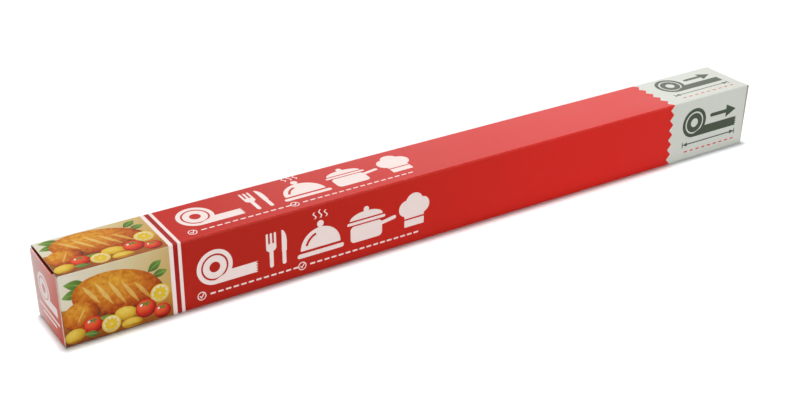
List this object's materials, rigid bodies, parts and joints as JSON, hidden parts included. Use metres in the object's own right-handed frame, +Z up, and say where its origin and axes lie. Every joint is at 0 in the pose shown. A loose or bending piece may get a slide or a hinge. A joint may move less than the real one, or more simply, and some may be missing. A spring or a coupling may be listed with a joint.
{
  "type": "boxed kitchen foil roll",
  "caption": "Long slim folding carton of household aluminium foil, closed at both ends by tucked and glued panels, lying on its long side",
  "frame": {"origin": "centre of the box round the carton, on the table under it", "axes": "X along the roll from the left end to the right end, Y from the front panel to the back panel, Z up"},
  "size_m": [0.4588, 0.037, 0.0406],
  "materials": {
    "printed_board": "gloss varnished print on white lined board"
  },
  "bodies": {
    "root": {"foil_carton": "printed_board"}
  },
  "joints": []
}
